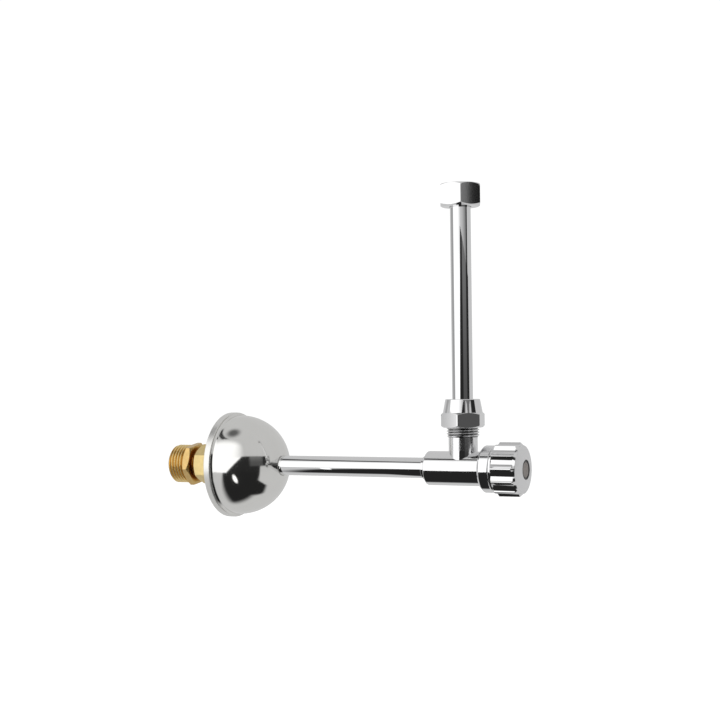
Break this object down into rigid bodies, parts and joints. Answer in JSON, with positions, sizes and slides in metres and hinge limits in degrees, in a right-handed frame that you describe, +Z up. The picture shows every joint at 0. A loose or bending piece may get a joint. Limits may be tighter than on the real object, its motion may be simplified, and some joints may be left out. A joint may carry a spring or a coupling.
{
  "type": "cistern tap",
  "caption": "Chromed angle tap on a wall supply tube, with a domed wall flange, a fluted knob and a riser tube ending in a union nut.",
  "frame": {"origin": "on the supply axis, at the shoulder behind the wall thread", "axes": "+X out of the wall along the supply tube, +Z up along the riser, metres"},
  "size_m": [0.2067, 0.0568, 0.1724],
  "materials": {
    "inlet_brass": "machined",
    "valve_brass": "machined",
    "chromed_tube": "polished",
    "chromed_casting": "polished",
    "chromed_nut": "polished",
    "chromed_knob": "polished, satin face",
    "flange_metal": "satin bright",
    "steel": "plain",
    "seal_rubber": "matt",
    "cap_plastic": "matt"
  },
  "bodies": {
    "tap": {"inlet_adaptor": "inlet_brass", "inlet_olive": "inlet_brass", "inlet_nut": "inlet_brass", "supply_tube": "chromed_tube", "valve_body": "chromed_casting", "headwork": "valve_brass", "headwork_seal": "seal_rubber", "spindle_clip": "steel", "outlet_nut": "chromed_nut", "outlet_olive": "valve_brass", "riser_tube": "chromed_tube", "union_washer": "seal_rubber"},
    "flange": {"wall_flange": "flange_metal"},
    "handle": {"spindle": "valve_brass", "spindle_seal_inner": "seal_rubber", "spindle_seal_outer": "seal_rubber", "knob": "chromed_knob", "knob_screw": "steel", "knob_cap": "cap_plastic"},
    "plunger": {"valve_plunger": "valve_brass", "tap_washer": "seal_rubber", "washer_screw": "valve_brass"},
    "riser_ring": {"union_ring": "valve_brass"},
    "riser_nut": {"union_nut": "chromed_nut"}
  },
  "joints": [
    {"name": "flange_slide", "type": "slide", "parent": "tap", "child": "flange", "axis": [1, 0, 0], "range_m": [-0.0252, 0.0825]},
    {"name": "handle_turn", "type": "hinge", "parent": "tap", "child": "handle", "pos_m": [0.163, 0, 0], "axis": [1, 0, 0], "range_deg": [0, 630]},
    {"name": "valve_lift", "type": "slide", "parent": "tap", "child": "plunger", "axis": [1, 0, 0], "range_m": [0, 0.00351]},
    {"name": "ring_slide", "type": "slide", "parent": "tap", "child": "riser_ring", "axis": [0, 0, 1], "range_m": [-0.095, 0]},
    {"name": "riser_nut_turn", "type": "hinge", "parent": "riser_ring", "child": "riser_nut", "pos_m": [0.163, 0, 0.137], "axis": [0, 0, 1], "continuous": true}
  ],
  "couplings": [
    {"joint": "valve_lift", "follows": "handle_turn", "m_per_rad": 0.0003183}
  ]
}
